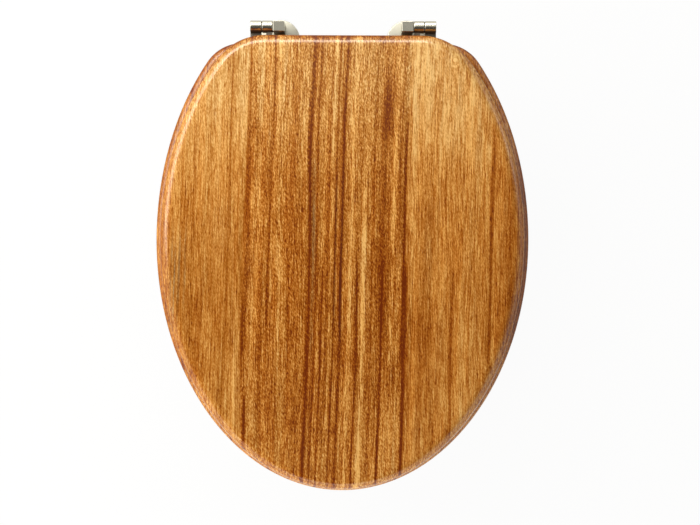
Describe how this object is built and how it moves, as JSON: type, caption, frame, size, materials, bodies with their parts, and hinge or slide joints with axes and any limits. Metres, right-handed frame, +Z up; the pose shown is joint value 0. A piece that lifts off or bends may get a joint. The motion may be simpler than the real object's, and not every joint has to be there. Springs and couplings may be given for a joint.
{
  "type": "toilet seat",
  "caption": "Wooden toilet seat ring with a hinged lid, plated post hinges and fixings that clamp it to the bowl.",
  "frame": {"origin": "on the bowl's top face, midway between the two fixing studs", "axes": "+X across the seat, +Y to the back where the hinges are, +Z up"},
  "size_m": [0.37, 0.47, 0.1016],
  "materials": {
    "lacquered_wood": "gloss lacquer",
    "plated_zinc": "polished nickel",
    "pin_steel": "ground",
    "zinc_steel": "zinc plated",
    "white_nylon": "moulded",
    "black_nylon": "moulded",
    "grey_rubber": "matte",
    "soft_pad": "satin"
  },
  "bodies": {
    "hinge_posts": {"base_gasket_left": "grey_rubber", "base_gasket_right": "grey_rubber", "cone_washer_left": "grey_rubber", "cone_washer_right": "grey_rubber", "flat_washer_left": "zinc_steel", "flat_washer_right": "zinc_steel", "grub_screws": "zinc_steel", "hinge_base_left": "plated_zinc", "hinge_base_right": "plated_zinc", "hinge_pin_left": "pin_steel", "hinge_pin_right": "pin_steel", "stud_left": "zinc_steel", "stud_right": "zinc_steel", "wing_nut_left": "white_nylon", "wing_nut_right": "white_nylon"},
    "seat": {"seat_buffer_back_left": "soft_pad", "seat_buffer_back_right": "soft_pad", "seat_buffer_front_left": "soft_pad", "seat_buffer_front_right": "soft_pad", "seat_buffer_screws": "zinc_steel", "seat_bush_left": "black_nylon", "seat_bush_right": "black_nylon", "seat_leaf_left": "plated_zinc", "seat_leaf_right": "plated_zinc", "seat_leaf_screws": "zinc_steel", "seat_ring": "lacquered_wood"},
    "lid": {"lid": "lacquered_wood", "lid_buffer_back_left": "soft_pad", "lid_buffer_back_right": "soft_pad", "lid_buffer_front_left": "soft_pad", "lid_buffer_front_right": "soft_pad", "lid_buffer_screws": "zinc_steel", "lid_bush_left": "black_nylon", "lid_bush_right": "black_nylon", "lid_leaf_left": "plated_zinc", "lid_leaf_right": "plated_zinc", "lid_leaf_screws": "zinc_steel"}
  },
  "joints": [
    {"name": "seat_hinge", "type": "hinge", "parent": "hinge_posts", "child": "seat", "pos_m": [0, 0.009, 0.03325], "axis": [-1, 0, 0], "range_deg": [0, 95]},
    {"name": "lid_hinge", "type": "hinge", "parent": "seat", "child": "lid", "pos_m": [0, 0.009, 0.03325], "axis": [-1, 0, 0], "range_deg": [0, 95]}
  ]
}
